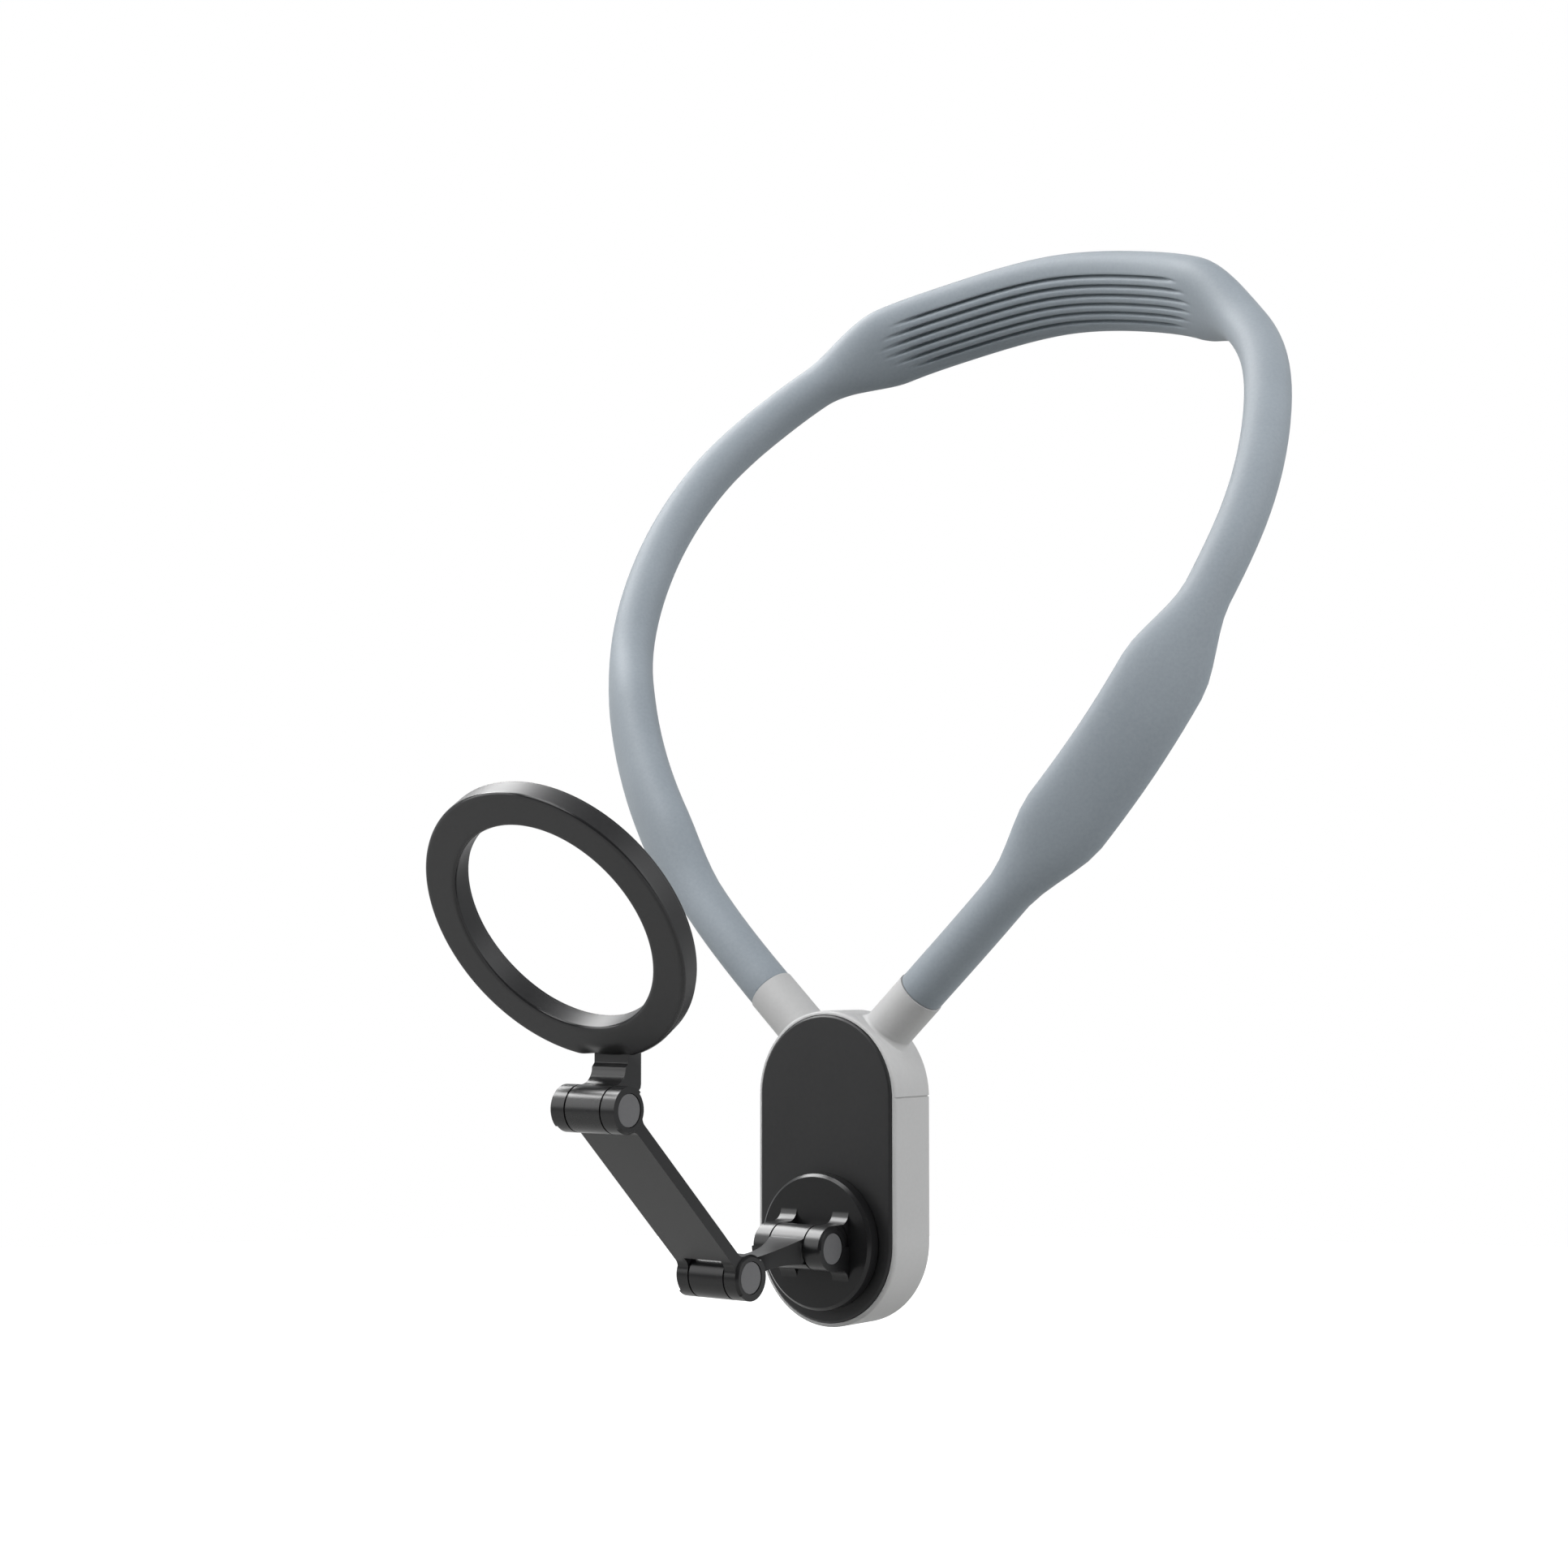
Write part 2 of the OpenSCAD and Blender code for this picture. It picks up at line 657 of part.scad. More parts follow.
module hub_screw() {
    shank_len = hub_bore_depth - 2 * run_gap + hub_plate_t;
    color("#5a5c5e") difference() {
        union() {
            at_depth(hub_end_y + hub_plate_t - shank_len) cylinder(h = shank_len, r = hub_screw_r);
            at_depth(hub_end_y + hub_plate_t) cylinder(h = hub_head_h, r = hub_head_r);
        }
        at_depth(hub_end_y + hub_plate_t + hub_head_h / 2)
            cylinder(h = cut + hub_head_h, r = hub_screw_r, $fn = 6);
    }
}

// Hinge parts, drawn about an axis along X
module across(w) {
    rotate([90, 0, 90]) linear_extrude(height = w, center = true) children();
}
module barrel(w, r = barrel_r) {
    rotate([0, 90, 0]) cylinder(h = w, r = r, center = true);
}
module barrel_end_bevels(w) {
    both_sides() translate([w / 2 - barrel_bevel, 0, 0]) rotate([0, 90, 0]) difference() {
        cylinder(h = barrel_bevel + cut, r = barrel_r + cut);
        translate([0, 0, -barrel_bevel * cut / barrel_bevel])
            cylinder(h = cut, r = barrel_r + 2 * cut);
        cylinder(h = barrel_bevel, r1 = barrel_r, r2 = barrel_r - barrel_bevel);
        translate([0, -4 * barrel_r, -cut]) cube([4 * barrel_r, 8 * barrel_r, 4 * cut]);
    }
}
module hinge_bores(w) {
    barrel(w + 2 * cut, pin_r + press_gap);
    both_sides() translate([w / 2 - cap_pocket, 0, 0]) rotate([0, 90, 0])
        cylinder(h = cap_pocket + cut, r = cap_r + run_gap);
}
module hinge_pin(w) {
    barrel(w - 2 * cap_pocket - 2 * run_gap, pin_r);
}
module hinge_caps(w) {
    both_sides() translate([w / 2 - cap_pocket, 0, 0]) rotate([0, 90, 0]) cylinder(h = cap_t, r = cap_r);
}
module hinge_washers() {
    both_sides() translate([knuckle_w / 2, 0, 0]) rotate([0, 90, 0]) difference() {
        cylinder(h = washer_t, r = barrel_r - washer_step);
        translate([0, 0, -cut]) cylinder(h = washer_t + 2 * cut, r = pin_r + run_gap);
    }
}
module base_pin() {
    color("#77797c") translate(base_axis) hinge_pin(base_barrel_w);
}
module base_caps() {
    color("#666666") translate(base_axis) hinge_caps(base_barrel_w);
}
module base_washers() {
    color("#1c1c1c") translate(base_axis) hinge_washers();
}
module middle_pin() {
    color("#77797c") translate(middle_axis) hinge_pin(arm_barrel_w);
}
module middle_caps() {
    color("#666666") translate(middle_axis) hinge_caps(arm_barrel_w);
}
module middle_washers() {
    color("#1c1c1c") translate(middle_axis) hinge_washers();
}
module ring_pin() {
    color("#77797c") translate(ring_axis) hinge_pin(arm_barrel_w);
}
module ring_caps() {
    color("#666666") translate(ring_axis) hinge_caps(arm_barrel_w);
}
module ring_washers() {
    color("#1c1c1c") translate(ring_axis) hinge_washers();
}

// Links of the arm
module waist_profile(root, waist, reach) {
    // A bar between both axes, hollowed on both sides from its roots to its waist
    sag = (root - waist) / 2;
    hollow_r = (pow(reach, 2) + pow(sag, 2)) / (2 * sag);
    difference() {
        translate([0, -root / 2]) square([short_len, root]);
        for (side = [-1, 1])
            translate([short_len / 2, side * (waist / 2 + hollow_r)]) circle(r = hollow_r, $fn = 256);
    }
}
module short_link() {
    color("#2f2f2f") on_link() difference() {
        union() {
            barrel(knuckle_w);
            translate([0, 0, short_len]) barrel(knuckle_w);
            intersection() {
                rotate([0, -90, 0]) linear_extrude(height = knuckle_w, center = true)
                    waist_profile(waist_root_t, waist_t, short_len / 2 - waist_side_share * barrel_r);
                rotate([0, -90, -90]) linear_extrude(height = 2 * barrel_r, center = true)
                    waist_profile(knuckle_w, waist_w, short_len / 2 - waist_top_share * barrel_r);
            }
        }
        barrel(knuckle_w + 2 * cut, pin_r + run_gap);
        translate([0, 0, short_len]) barrel(knuckle_w + 2 * cut, pin_r + run_gap);
    }
}
module bar_profile() {
    // Half of the long bar seen from its side: the flat and its round blend to the barrel
    lift = bar_t / 2 + fork_round;
    reach = sqrt(pow(barrel_r + fork_round, 2) - pow(lift, 2));
    meet = lift * barrel_r / (barrel_r + fork_round);
    translate([0, -bar_t / 2]) square([long_len / 2, bar_t]);
    difference() {
        translate([0, -meet]) square([reach, 2 * meet]);
        for (side = [-1, 1]) translate([reach, side * lift]) circle(r = fork_round);
    }
}
module half_bar(floor_gap) {
    difference() {
        union() {
            barrel(arm_barrel_w);
            rotate([0, -90, 0]) linear_extrude(height = bar_w, center = true) bar_profile();
        }
        barrel_end_bevels(arm_barrel_w);
        translate([-ear_in, -2 * barrel_r, -2 * barrel_r])
            cube([2 * ear_in, 4 * barrel_r, 3 * barrel_r + floor_gap]);
        hinge_bores(arm_barrel_w);
    }
}
module long_bar() {
    color("#3a3a3a") on_bar() {
        half_bar(low_fork_gap);
        translate([0, 0, long_len]) mirror([0, 0, 1]) half_bar(fork_gap);
    }
}

// Magnetic ring
module ring_profile() {
    polygon([
        [window_r + ring_bevel, 0], [ring_r - ring_bevel, 0], [ring_r, ring_bevel],
        [ring_r, ring_body_t], [channel_out_r, ring_body_t], [channel_out_r, ring_front_t],
        [channel_in_r, ring_front_t], [channel_in_r, ring_body_t], [window_r, ring_body_t],
        [window_r, ring_bevel]
    ]);
}
module neck_profile() {
    // Seen from the side, about the ring hinge's axis: Y back, Z up
    sink = ring_wall / 2;
    low = ring_drop - ring_r + sink;
    upper_front = neck_front + neck_shoulder;
    top_back = in_ring(ring_setback + ring_body_t - seat_gap, low);
    circle(r = barrel_r);
    difference() {
        polygon([
            [neck_front - neck_hollow, 0], [neck_front - neck_hollow, barrel_r + neck_hollow],
            [neck_front, barrel_r + neck_hollow],
            [upper_front, barrel_r + neck_hollow + 2 * neck_shoulder],
            [upper_front, (low + upper_front * sin(ring_lean)) / cos(ring_lean)],
            top_back, [neck_back, top_back[1] - ring_wall],
            [neck_back, barrel_r * 0.8], [barrel_r * 1.02, barrel_r * 0.42],
            [barrel_r * 0.9, 0]
        ]);
        translate([neck_front - neck_hollow, barrel_r + neck_hollow]) circle(r = neck_hollow);
    }
}
function in_ring(a, b) = [
    a * cos(ring_lean) - b * sin(ring_lean), a * sin(ring_lean) + b * cos(ring_lean)
];
module ring_body() {
    color("#444444") difference() {
        union() {
            on_ring() rotate_extrude($fn = 128) ring_profile();
            translate(ring_axis) across(knuckle_w) neck_profile();
        }
        translate(ring_axis) barrel(knuckle_w + 2 * cut, pin_r + run_gap);
    }
}
module flat_ring(r_in, r_out, y, t) {
    on_ring() translate([0, 0, y]) difference() {
        cylinder(h = t, r = r_out, $fn = 128);
        translate([0, 0, -cut]) cylinder(h = t + 2 * cut, r = r_in, $fn = 128);
    }
}
module yoke_ring() {
    color("#9a9a96")
        flat_ring(channel_in_r + seat_gap, channel_out_r - seat_gap, ring_front_t, yoke_t);
}
module magnets() {
    pitch = 360 / magnet_count;
    color("#b0b2b5") on_ring() for (i = [0 : magnet_count - 1]) {
        rotate([0, 0, i * pitch + magnet_gap / 2]) translate([0, 0, magnet_y])
            rotate_extrude(angle = pitch - magnet_gap)
            translate([channel_in_r + seat_gap, 0])
            square([channel_out_r - channel_in_r - 2 * seat_gap, magnet_t]);
    }
}
module ring_cover() {
    color("#2a2a2a") flat_ring(window_r + cover_edge, ring_r - cover_edge, ring_body_t, cover_t);
}
module contact_pad() {
    color("#232323")
        flat_ring(window_r + pad_edge, ring_r - pad_edge, ring_body_t + cover_t, pad_t);
}

// Neck loop
module sleeve() {
    rings = len(loop_places);
    outer = [for (k = [0 : rings - 1])
        let (s = loop_lengths[k], pad = max(chest_share(s), neck_share(s)))
        for (p = section(loop_places[k], loop_runs[k], turn_at(s),
            half_width(s), half_thick(s), pad, tube_sides)) p];
    bore = core_r + seat_gap;
    inner = [for (k = [0 : rings - 1])
        for (p = section(loop_places[k], loop_runs[k], turn_at(loop_lengths[k]),
            bore, bore, 0, tube_sides)) p];
    far = (rings - 1) * tube_sides;
    bore_first = rings * tube_sides;
    color("#8a929a") polyhedron(
        points = concat(outer, inner),
        faces = concat(
            skin(rings, tube_sides, 0, false),
            skin(rings, tube_sides, bore_first, true),
            collar(tube_sides, 0, bore_first, false),
            collar(tube_sides, far, bore_first + far, true)
        )
    );
}
module bend_core() {
    inset = plug_len - seat_gap;
    ends = [socket_end - inset * socket_dir, mirrored(socket_end - inset * socket_dir)];
    places = concat([ends[0]], loop_places, [ends[1]]);
    runs = concat([loop_runs[0]], loop_runs, [loop_runs[len(loop_runs) - 1]]);
    lengths = concat([0], loop_lengths, [loop_length]);
    points = [for (k = [0 : len(places) - 1])
        for (p = section(places[k], runs[k], turn_at(lengths[k]), core_r, core_r, 0, core_sides)) p];
    color("#9ea1a4") polyhedron(
        points = points,
        faces = concat(
            skin(len(places), core_sides, 0, false),
            lid(core_sides, 0, false),
            lid(core_sides, (len(places) - 1) * core_sides, true)
        )
    );
}
module core_plugs() {
    color("#9a9a96") difference() {
        socket_tube(plug_r, plug_len, 0);
        socket_tube(core_r + press_gap, plug_len + cut, cut);
    }
}

set_down() sleeve();
set_down() bend_core();
set_down() core_plugs();
set_down() upper_shell();
set_down() lower_shell();
set_down() front_plate();
set_down() chassis();
set_down() anchor_block();
set_down() anchor_screws();
set_down() shell_screws();
set_down() glide_ring();
set_down() turntable();
set_down() spring_washer();
set_down() hub_plate();
set_down() hub_screw();
set_down() base_pin();
set_down() base_caps();
set_down() short_link();
set_down() base_washers();
set_down() middle_washers();
set_down() long_bar();
set_down() middle_pin();
set_down() middle_caps();
set_down() ring_pin();
set_down() ring_caps();
set_down() ring_body();
set_down() ring_washers();
set_down() yoke_ring();
set_down() magnets();
set_down() ring_cover();
set_down() contact_pad();
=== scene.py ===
import math
import bmesh
import bpy
from mathutils import Matrix, Vector


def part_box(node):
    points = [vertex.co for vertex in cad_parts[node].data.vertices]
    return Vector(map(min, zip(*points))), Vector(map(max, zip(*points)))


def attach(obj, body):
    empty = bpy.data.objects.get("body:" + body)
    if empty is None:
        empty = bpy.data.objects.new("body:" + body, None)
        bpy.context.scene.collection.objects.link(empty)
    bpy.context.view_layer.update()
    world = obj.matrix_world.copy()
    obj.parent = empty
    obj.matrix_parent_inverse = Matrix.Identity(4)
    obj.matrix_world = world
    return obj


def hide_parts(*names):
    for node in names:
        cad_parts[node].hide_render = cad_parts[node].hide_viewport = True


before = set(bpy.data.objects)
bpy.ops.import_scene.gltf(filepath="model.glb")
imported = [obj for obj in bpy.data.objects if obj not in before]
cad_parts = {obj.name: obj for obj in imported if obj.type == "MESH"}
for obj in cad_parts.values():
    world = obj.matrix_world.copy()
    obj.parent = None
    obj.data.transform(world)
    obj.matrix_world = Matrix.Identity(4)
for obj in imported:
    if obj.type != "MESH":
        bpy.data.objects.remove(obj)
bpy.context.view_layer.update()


# ---------------------------------------------------------------- places and nodes
# Sizes are written in millimetres from the point where the turntable's axis meets the front
# plate: x to the wearer's left, y to the wearer's back, z up.
MM = 0.001
plate_reach = 16.6
plate_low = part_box("front_plate")[0]
pod_origin = Vector((0, plate_low.y, plate_low.z + plate_reach * MM))


def at(x, y, z):
    """A point given in millimetres from the turntable's axis on the front plate."""
    return pod_origin + Vector((x, y, z)) * MM


def placed(name, data):
    """A new object with the given data, in the scene."""
    made = bpy.data.objects.new(name, data)
    bpy.context.scene.collection.objects.link(made)
    return made


def linear(shade):
    """An sRGB hex colour as linear red, green, blue and alpha."""
    parts = [int(shade[i:i + 2], 16) / 255 for i in (1, 3, 5)]
    return [p / 12.92 if p <= 0.04045 else ((p + 0.055) / 1.055) ** 2.4 for p in parts] + [1]


def empty_tree(owner):
    """The node tree of a world or a material, without its first nodes."""
    owner.use_nodes = True
    owner.node_tree.nodes.clear()
    return owner.node_tree


def node(tree, kind, inputs=None, **settings):
    """A new node, each of whose inputs is a value or a link from another node's socket."""
    made = tree.nodes.new(kind)
    for name, value in settings.items():
        setattr(made, name, value)
    for name, value in (inputs or {}).items():
        if isinstance(value, bpy.types.NodeSocket):
            tree.links.new(value, made.inputs[name])
        else:
            made.inputs[name].default_value = value
    return made


def calc(tree, operation, *values):
    """What a maths node gives for numbers or sockets."""
    return node(tree, "ShaderNodeMath", dict(enumerate(values)), operation=operation).outputs[0]


def vector_calc(tree, operation, *values):
    """What a vector maths node gives: a number for a dot product or a length, else a vector."""
    made = node(tree, "ShaderNodeVectorMath", dict(enumerate(values)), operation=operation)
    return made.outputs["Value" if operation in ("DOT_PRODUCT", "LENGTH") else "Vector"]


def ranged(tree, value, start, end, low, high, form="LINEAR"):
    """A number that goes from low to high while the value goes from start to end."""
    made = node(tree, "ShaderNodeMapRange", {
        "Value": value, "From Min": start, "From Max": end, "To Min": low, "To Max": high},
        interpolation_type=form)
    return made.outputs[0]


# ---------------------------------------------------------------- studio
# The holder hangs over a plain pale floor, as it does round a neck. The camera stands to
# the wearer's left and a little lower than the loop, and looks slightly upwards.
camera_place = (363.128, -480.008, 61.375)
camera_side = math.radians(37.893)
camera_rise = math.radians(-3.032)
back = Vector((
    math.sin(camera_side) * math.cos(camera_rise),
    -math.cos(camera_side) * math.cos(camera_rise),
    math.sin(camera_rise),
))
right = Vector((math.cos(camera_side), math.sin(camera_side), 0))
camera_up = back.cross(right)
camera_data = bpy.data.cameras.new("camera")
camera_data.lens = 67.34
camera_data.sensor_width = 36
camera_data.clip_start = 0.01
camera_data.clip_end = 30
camera = placed("camera", camera_data)
camera.matrix_world = (
    Matrix.Translation(at(*camera_place))
    @ Matrix((right, camera_up, back)).transposed().to_4x4()
)
bpy.context.scene.camera = camera
bpy.context.scene.view_settings.view_transform = "Standard"

# The room is white round the holder, dim on the camera's side and overhead, so round
# pieces are dark in their middle and pale at their edges; the camera sees plain white.
world = bpy.data.worlds.new("white_room")
bpy.context.scene.world = world
tree = empty_tree(world)
gaze = node(tree, "ShaderNodeNewGeometry").outputs["Incoming"]
dark_way = (back * 0.9 - right * 0.3 - camera_up * 0.2).normalized()
toward = vector_calc(tree, "DOT_PRODUCT", gaze, dark_way)
side_light = ranged(tree, toward, -0.9, 0.1, 0.03, 0.72, "SMOOTHSTEP")
gaze_rise = vector_calc(tree, "DOT_PRODUCT", gaze, (0, 0, -1))
overhead = ranged(tree, gaze_rise, 0.45, 0.85, 1.0, 0.45, "SMOOTHSTEP")
light = calc(tree, "MULTIPLY", side_light, overhead)
dim = node(tree, "ShaderNodeBackground", {"Color": linear("#f4f6f8"), "Strength": light})
bright = node(tree, "ShaderNodeBackground", {"Color": (1, 1, 1, 1), "Strength": 1})
path = node(tree, "ShaderNodeLightPath").outputs
seen = calc(tree, "MAXIMUM", path["Is Camera Ray"], path["Is Transmission Ray"])
room = node(tree, "ShaderNodeMixShader", {0: seen, 1: dim.outputs[0], 2: bright.outputs[0]})
node(tree, "ShaderNodeOutputWorld", {"Surface": room.outputs[0]})

# The floor is a large round sheet of paper below the pod.
floor_level = -300
floor_mesh = bmesh.new()
bmesh.ops.create_circle(floor_mesh, cap_ends=True, segments=96, radius=3)
bmesh.ops.translate(floor_mesh, verts=floor_mesh.verts, vec=at(0, 0, floor_level))
floor_data = bpy.data.meshes.new("floor")
floor_mesh.to_mesh(floor_data)
floor_mesh.free()
floor = placed("floor", floor_data)
# uncoated paper: plain white to the camera, without gloss, with a hardly visible fibre; it
# glows more and more towards its rim, and the light that it throws back is a little greyer
paper = bpy.data.materials.new("white_paper_floor")
tree = empty_tree(paper)
spot = node(tree, "ShaderNodeTexCoord").outputs["Object"]
fibre = node(tree, "ShaderNodeTexNoise", {"Vector": spot, "Scale": 700, "Detail": 3})
tint = node(tree, "ShaderNodeValToRGB", {"Fac": fibre.outputs["Fac"]})
tint.color_ramp.elements[0].color = linear("#ecece9")
tint.color_ramp.elements[1].color = linear("#f3f3f1")
outward = ranged(tree, vector_calc(tree, "LENGTH", spot), 0.5, 1.4, 0.5, 1.0, "SMOOTHSTEP")
path = node(tree, "ShaderNodeLightPath").outputs
seen = calc(tree, "MAXIMUM", path["Is Camera Ray"], path["Is Glossy Ray"])
glow = calc(tree, "MULTIPLY", seen, outward)
shade = node(tree, "ShaderNodeMix", {
    0: path["Is Camera Ray"], 6: linear("#a6a6a4"), 7: tint.outputs["Color"]}, data_type="RGBA")
sheet = node(tree, "ShaderNodeBsdfPrincipled", {
    "Base Color": shade.outputs[2], "Roughness": 0.9, "Emission Color": (1, 1, 1, 1),
    "Emission Strength": glow})
node(tree, "ShaderNodeOutputMaterial", {"Surface": sheet.outputs[0]})
floor_data.materials.append(paper)

# name, degrees from the front towards the wearer's left, degrees up, distance, width and
# height in metres, watts
lamps = (
    ("strip_light", -84, 48, 0.95, 1.0, 0.42, 18),
    ("low_strip_light", -62, 38, 0.95, 0.45, 0.22, 1.8),
    ("right_side", 96, 22, 1.1, 0.8, 0.8, 7.7),
    ("top_front", -18, 60, 1.0, 0.5, 0.5, 4.4),
    ("front", -5, 35, 1.0, 0.6, 0.6, 3.9),
    ("front_right", -45, 15, 1.0, 0.6, 0.6, 3.1),
)
aim = at(0, 20, 90)
for name, side, rise, distance, width, height, power in lamps:
    lamp_data = bpy.data.lights.new(name, "AREA")
    lamp_data.shape = "ELLIPSE"
    lamp_data.size = width
    lamp_data.size_y = height
    lamp_data.energy = power
    lamp = placed(name, lamp_data)
    # the strip lights only draw the highlights of the polished barrels
    lamp.visible_diffuse = "strip" not in name
    turn, lift = math.radians(side), math.radians(rise)
    way = Vector((
        math.sin(turn) * math.cos(lift), -math.cos(turn) * math.cos(lift), math.sin(lift)))
    facing = way.to_track_quat("Z", "Y").to_matrix().to_4x4()
    lamp.matrix_world = Matrix.Translation(aim + way * distance) @ facing


# ---------------------------------------------------------------- making pieces
def finish(name, shades, rough, grain, relief, metallic=0.0, specular=0.5, extra=None):
    """A surface of two close shades in grains of the given size in mm, with relief in mm."""
    made = bpy.data.materials.new(name)
    tree = empty_tree(made)
    spot = node(tree, "ShaderNodeTexCoord").outputs["Object"]
    fine = node(tree, "ShaderNodeTexNoise", {
        "Vector": spot, "Scale": 1 / (grain * MM), "Detail": 3, "Roughness": 0.6}).outputs["Fac"]
    broad = node(tree, "ShaderNodeTexNoise", {
        "Vector": spot, "Scale": 45, "Detail": 2}).outputs["Fac"]
    mean = calc(tree, "MULTIPLY", calc(tree, "ADD", fine, broad), 0.5)
    # the mean of the two noises hardly leaves this range
    low, high = 0.3, 0.7
    tint = node(tree, "ShaderNodeValToRGB", {"Fac": mean})
    for stop, position, shade in zip(tint.color_ramp.elements, (low, high), shades):
        stop.position = position
        stop.color = linear(shade)
    bump = node(tree, "ShaderNodeBump", {"Height": fine, "Strength": 1, "Distance": relief * MM})
    shell = node(tree, "ShaderNodeBsdfPrincipled", {
        "Base Color": tint.outputs["Color"], "Roughness": ranged(tree, mean, low, high, *rough),
        "Normal": bump.outputs[0], "Metallic": metallic, "Specular IOR Level": specular,
        **(extra or {})})
    node(tree, "ShaderNodeOutputMaterial", {"Surface": shell.outputs[0]})
    return made


def dress(material, *names):
    """CAD nodes that keep their mesh get their material."""
    for name in names:
        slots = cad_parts[name].material_slots
        if not slots:
            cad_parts[name].data.materials.append(material)
        for slot in slots:
            slot.material = material


def add(shape, name, body, material, replaces=(), sharp=40):
    """A finished mesh becomes a piece that rides on a body and stands for CAD nodes."""
    data = bpy.data.meshes.new(name)
    for face in shape.faces:
        face.smooth = True
    shape.to_mesh(data)
    shape.free()
    data.set_sharp_from_angle(angle=math.radians(sharp))
    piece = placed(name, data)
    data.materials.append(material)
    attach(piece, body)
    if replaces:
        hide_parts(*replaces)
    return piece


def bent_edges(shape, limit):
    """The edges between two faces that meet at more than the given number of degrees."""
    return [e for e in shape.edges
            if len(e.link_faces) == 2 and e.calc_face_angle() > math.radians(limit)]


def round_edges(shape, edges, width):
    """The given edges get a round of the given width in mm, in three steps."""
    bmesh.ops.bevel(
        shape, geom=edges, offset=width * MM, offset_type="OFFSET", affect="EDGES", segments=3,
        profile=0.5, material=-1, clamp_overlap=True)
    bmesh.ops.recalc_face_normals(shape, faces=shape.faces)


def keep_flat(piece):
    """Flat faces keep flat shading beside rounded edges."""
    even = piece.modifiers.new("even_normals", "WEIGHTED_NORMAL")
    even.keep_sharp = True


def add_rounded(name, width, body, material):
    """A CAD node's own form, its sharp edges rounded by the given width in mm, replaces it."""
    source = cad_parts[name]
    shape = bmesh.new()
    shape.from_mesh(source.data)
    bmesh.ops.transform(shape, matrix=source.matrix_world, verts=shape.verts)
    bmesh.ops.remove_doubles(shape, verts=shape.verts, dist=1e-7)
    bmesh.ops.dissolve_limit(
        shape, angle_limit=math.radians(1), verts=shape.verts, edges=shape.edges)
    round_edges(shape, bent_edges(shape, 25), width)
    keep_flat(add(shape, "rounded_" + name, body, material, [name]))


def rolled(rings):
    """A skin through rings of equal counts, from a grid rolled into a tube, with closed ends."""
    shape = bmesh.new()
    rows, columns = len(rings), len(rings[0])
    bmesh.ops.create_grid(shape, x_segments=columns, y_segments=rows - 1, size=1)
    for v in shape.verts:
        i = round((v.co.y + 1) / 2 * (rows - 1))
        j = round((v.co.x + 1) / 2 * columns)
        v.co = rings[i][j % columns]
    bmesh.ops.remove_doubles(shape, verts=shape.verts, dist=1e-7)
    rims = [e for e in shape.edges if e.is_boundary]
    bmesh.ops.holes_fill(shape, edges=rims, sides=0)
    bmesh.ops.recalc_face_normals(shape, faces=shape.faces)
    return shape


def eased(x):
    """A smooth step from 0 to 1."""
    x = max(0, min(1, x))
    return x * x * (3 - 2 * x)


# ---------------------------------------------------------------- neck loop
# A bendable metal core, one length from socket to socket, with a plug crimped on each end.
# The sleeve and the pod hide them.
# annealed wire: dull grey metal, its reflections blurred by a fine drawn skin
annealed_wire = finish(
    "annealed_aluminium_wire", ("#9a9da0", "#b4b6b8"), (0.38, 0.5), 0.5, 0.01, metallic=1.0)
# turned steel: brighter metal whose tight grain breaks the reflections up
turned_steel = finish(
    "turned_steel", ("#8e8f90", "#a9aaab"), (0.28, 0.4), 0.4, 0.006, metallic=1.0)
dress(annealed_wire, "bend_core")
dress(turned_steel, "core_plugs")

# The sleeve is one moulding of soft blue-grey silicone, pulled over the core. It swells to
# a smooth pad on each side of the chest and to a wide pad behind the neck, whose inner face
# has six fine grooves that fade out at their ends.
pod_r, pod_rise = 17.5, 29.3
socket_reach, socket_seat = pod_r + 11.18, math.radians(48)
socket_end = Vector((
    socket_reach * math.cos(socket_seat), 7.1,
    pod_rise + socket_reach * math.sin(socket_seat)))
socket_turn = math.radians(43)
socket_way = Vector((math.cos(socket_turn), 0, math.sin(socket_turn)))
loop_half_w, loop_depth, loop_rise = 77.8, 83.9, 160
# shares of half width, depth and rise, from the left socket to the middle of the neck
loop_table = (
    (0.545, 0.02, 0.145), (0.785, 0.09, 0.3), (0.94, 0.2, 0.46), (1, 0.365, 0.61),
    (0.955, 0.545, 0.745), (0.82, 0.735, 0.855), (0.61, 0.875, 0.935), (0.33, 0.97, 0.98),
    (0, 1, 1),
)
half_route = [socket_end] + [
    Vector((w * loop_half_w, socket_end.y + d * loop_depth, socket_end.z + r * loop_rise))
    for w, d, r in loop_table
]
before_start = half_route[1] - 2 * (half_route[1] - half_route[0]).length * socket_way
route = [before_start] + half_route
route += [Vector((-p.x, p.y, p.z)) for p in reversed(route[:-1])]
spans = len(route) - 3
loop_plane = Vector((0, -loop_rise, loop_depth)).normalized()
sleeve_r, bore_r, sleeve_lip = 4.9, 1.9, 0.35
# the pads' lengths run along the sleeve, from its ends or about the middle of the neck
chest_pad_w, chest_pad_t, chest_from, chest_len, chest_taper = 18, 10, 28, 73, 20
neck_pad_w, neck_pad_t, neck_len, neck_taper = 19, 10, 131, 22
chest_turn, neck_turn = 42, -28
# the power that makes the pads' section fuller than an ellipse
pad_flatness = 0.85


def on_route(u):
    """Place and direction of the sleeve's centre line, u counted in spans from one socket."""
    i = min(int(u), spans - 1)
    t = u - i
    p = route[i:i + 4]
    a = 2 * p[0] - 5 * p[1] + 4 * p[2] - p[3]
    b = 3 * p[1] - p[0] - 3 * p[2] + p[3]
    c = p[2] - p[0]
    place = (2 * p[1] + c * t + a * t * t + b * t ** 3) / 2
    return place, ((c + 2 * a * t + 3 * b * t * t) / 2).normalized()


